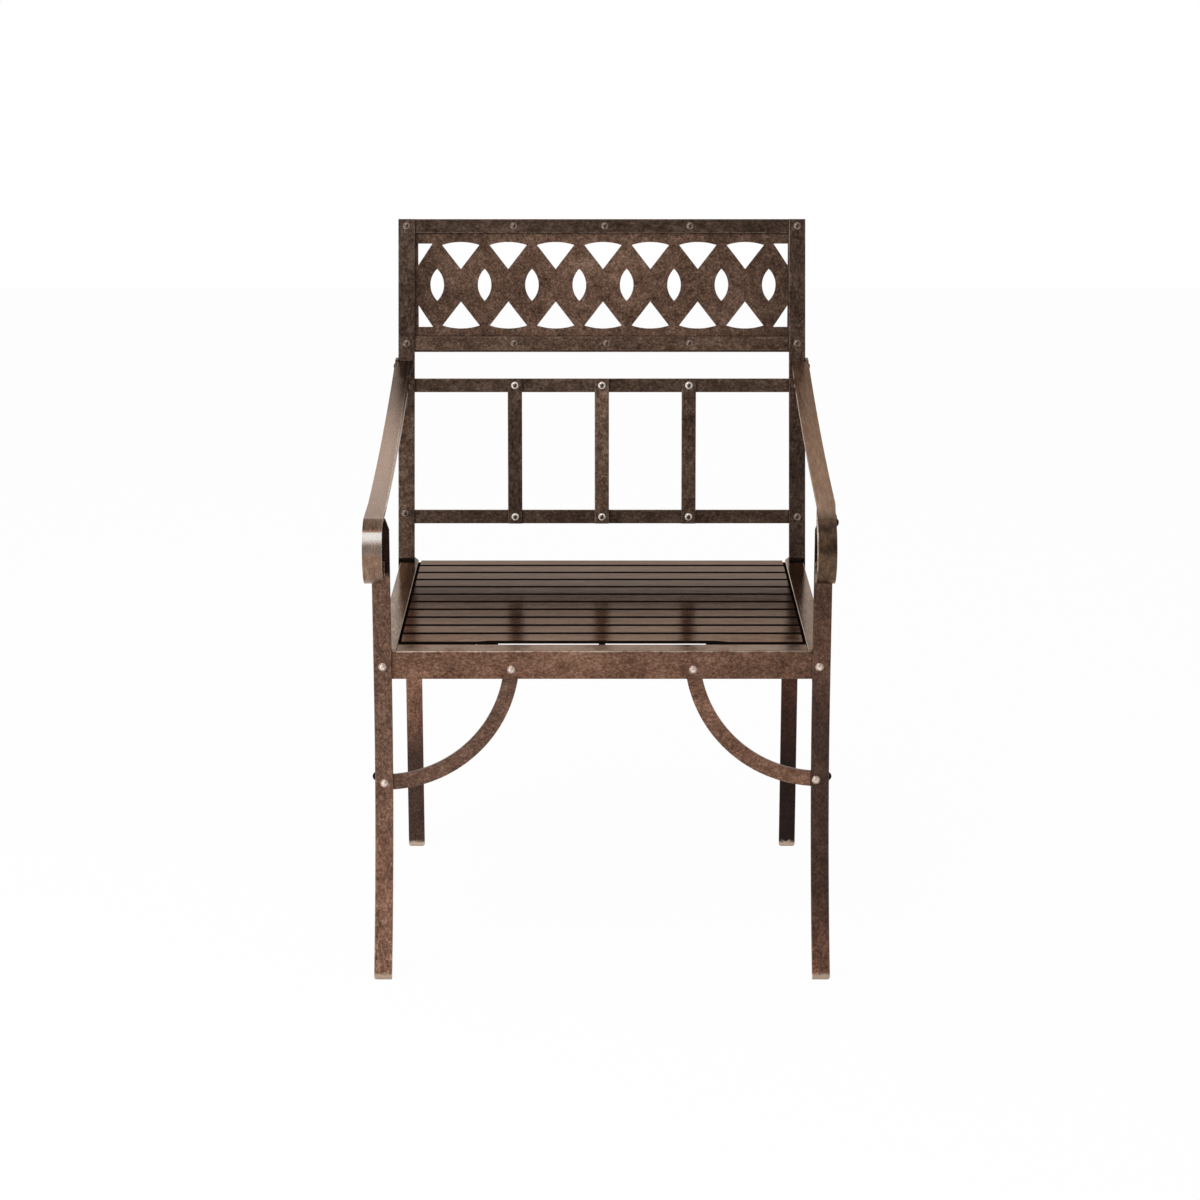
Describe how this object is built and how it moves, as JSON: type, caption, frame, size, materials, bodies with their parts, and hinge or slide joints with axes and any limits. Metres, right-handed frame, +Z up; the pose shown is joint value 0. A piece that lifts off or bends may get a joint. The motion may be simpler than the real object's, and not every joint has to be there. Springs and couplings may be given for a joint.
{
  "type": "iron garden armchair",
  "caption": "Riveted iron garden armchair with scrolled flat bar arms, a slatted seat, a pierced lattice back panel and curved braces under the seat.",
  "frame": {"origin": "on the floor, under the middle of the chair's outer box", "axes": "+Z up, -Y the way the sitter faces, +X to the right as seen from in front"},
  "size_m": [0.615, 0.6476, 0.937],
  "materials": {
    "bronzed_iron": "brown antique bronze over iron, clear lacquer, slightly mottled",
    "rivet_heads": "same coat, rubbed bright on the domes"
  },
  "bodies": {
    "root": {"apron_leg_rivets": "rivet_heads", "arm_left": "bronzed_iron", "arm_right": "bronzed_iron", "arm_rivets": "rivet_heads", "back_lower_rail": "bronzed_iron", "back_panel_plate": "bronzed_iron", "back_post_left": "bronzed_iron", "back_post_right": "bronzed_iron", "back_top_rail": "bronzed_iron", "front_apron_rail": "bronzed_iron", "front_brace_left": "bronzed_iron", "front_brace_right": "bronzed_iron", "front_brace_rivets": "rivet_heads", "front_leg_left": "bronzed_iron", "front_leg_right": "bronzed_iron", "ladder_bottom_rail": "bronzed_iron", "ladder_rivets": "rivet_heads", "ladder_top_rail": "bronzed_iron", "ladder_upright_centre": "bronzed_iron", "ladder_upright_left": "bronzed_iron", "ladder_upright_right": "bronzed_iron", "panel_rivets": "rivet_heads", "post_rivets": "rivet_heads", "rear_leg_left": "bronzed_iron", "rear_leg_right": "bronzed_iron", "rear_leg_rivets": "rivet_heads", "seat_bearer_centre": "bronzed_iron", "seat_bearer_left": "bronzed_iron", "seat_bearer_right": "bronzed_iron", "seat_corner_rivets": "rivet_heads", "seat_edge_bearer_left": "bronzed_iron", "seat_edge_bearer_right": "bronzed_iron", "seat_rear_rail": "bronzed_iron", "seat_side_rail_left": "bronzed_iron", "seat_side_rail_right": "bronzed_iron", "seat_slat_01": "bronzed_iron", "seat_slat_02": "bronzed_iron", "seat_slat_03": "bronzed_iron", "seat_slat_04": "bronzed_iron", "seat_slat_05": "bronzed_iron", "seat_slat_06": "bronzed_iron", "seat_slat_07": "bronzed_iron", "seat_slat_08": "bronzed_iron", "seat_slat_09": "bronzed_iron", "seat_slat_10": "bronzed_iron", "seat_slat_11": "bronzed_iron", "side_brace_left": "bronzed_iron", "side_brace_right": "bronzed_iron", "side_brace_rivets": "rivet_heads"}
  },
  "joints": []
}
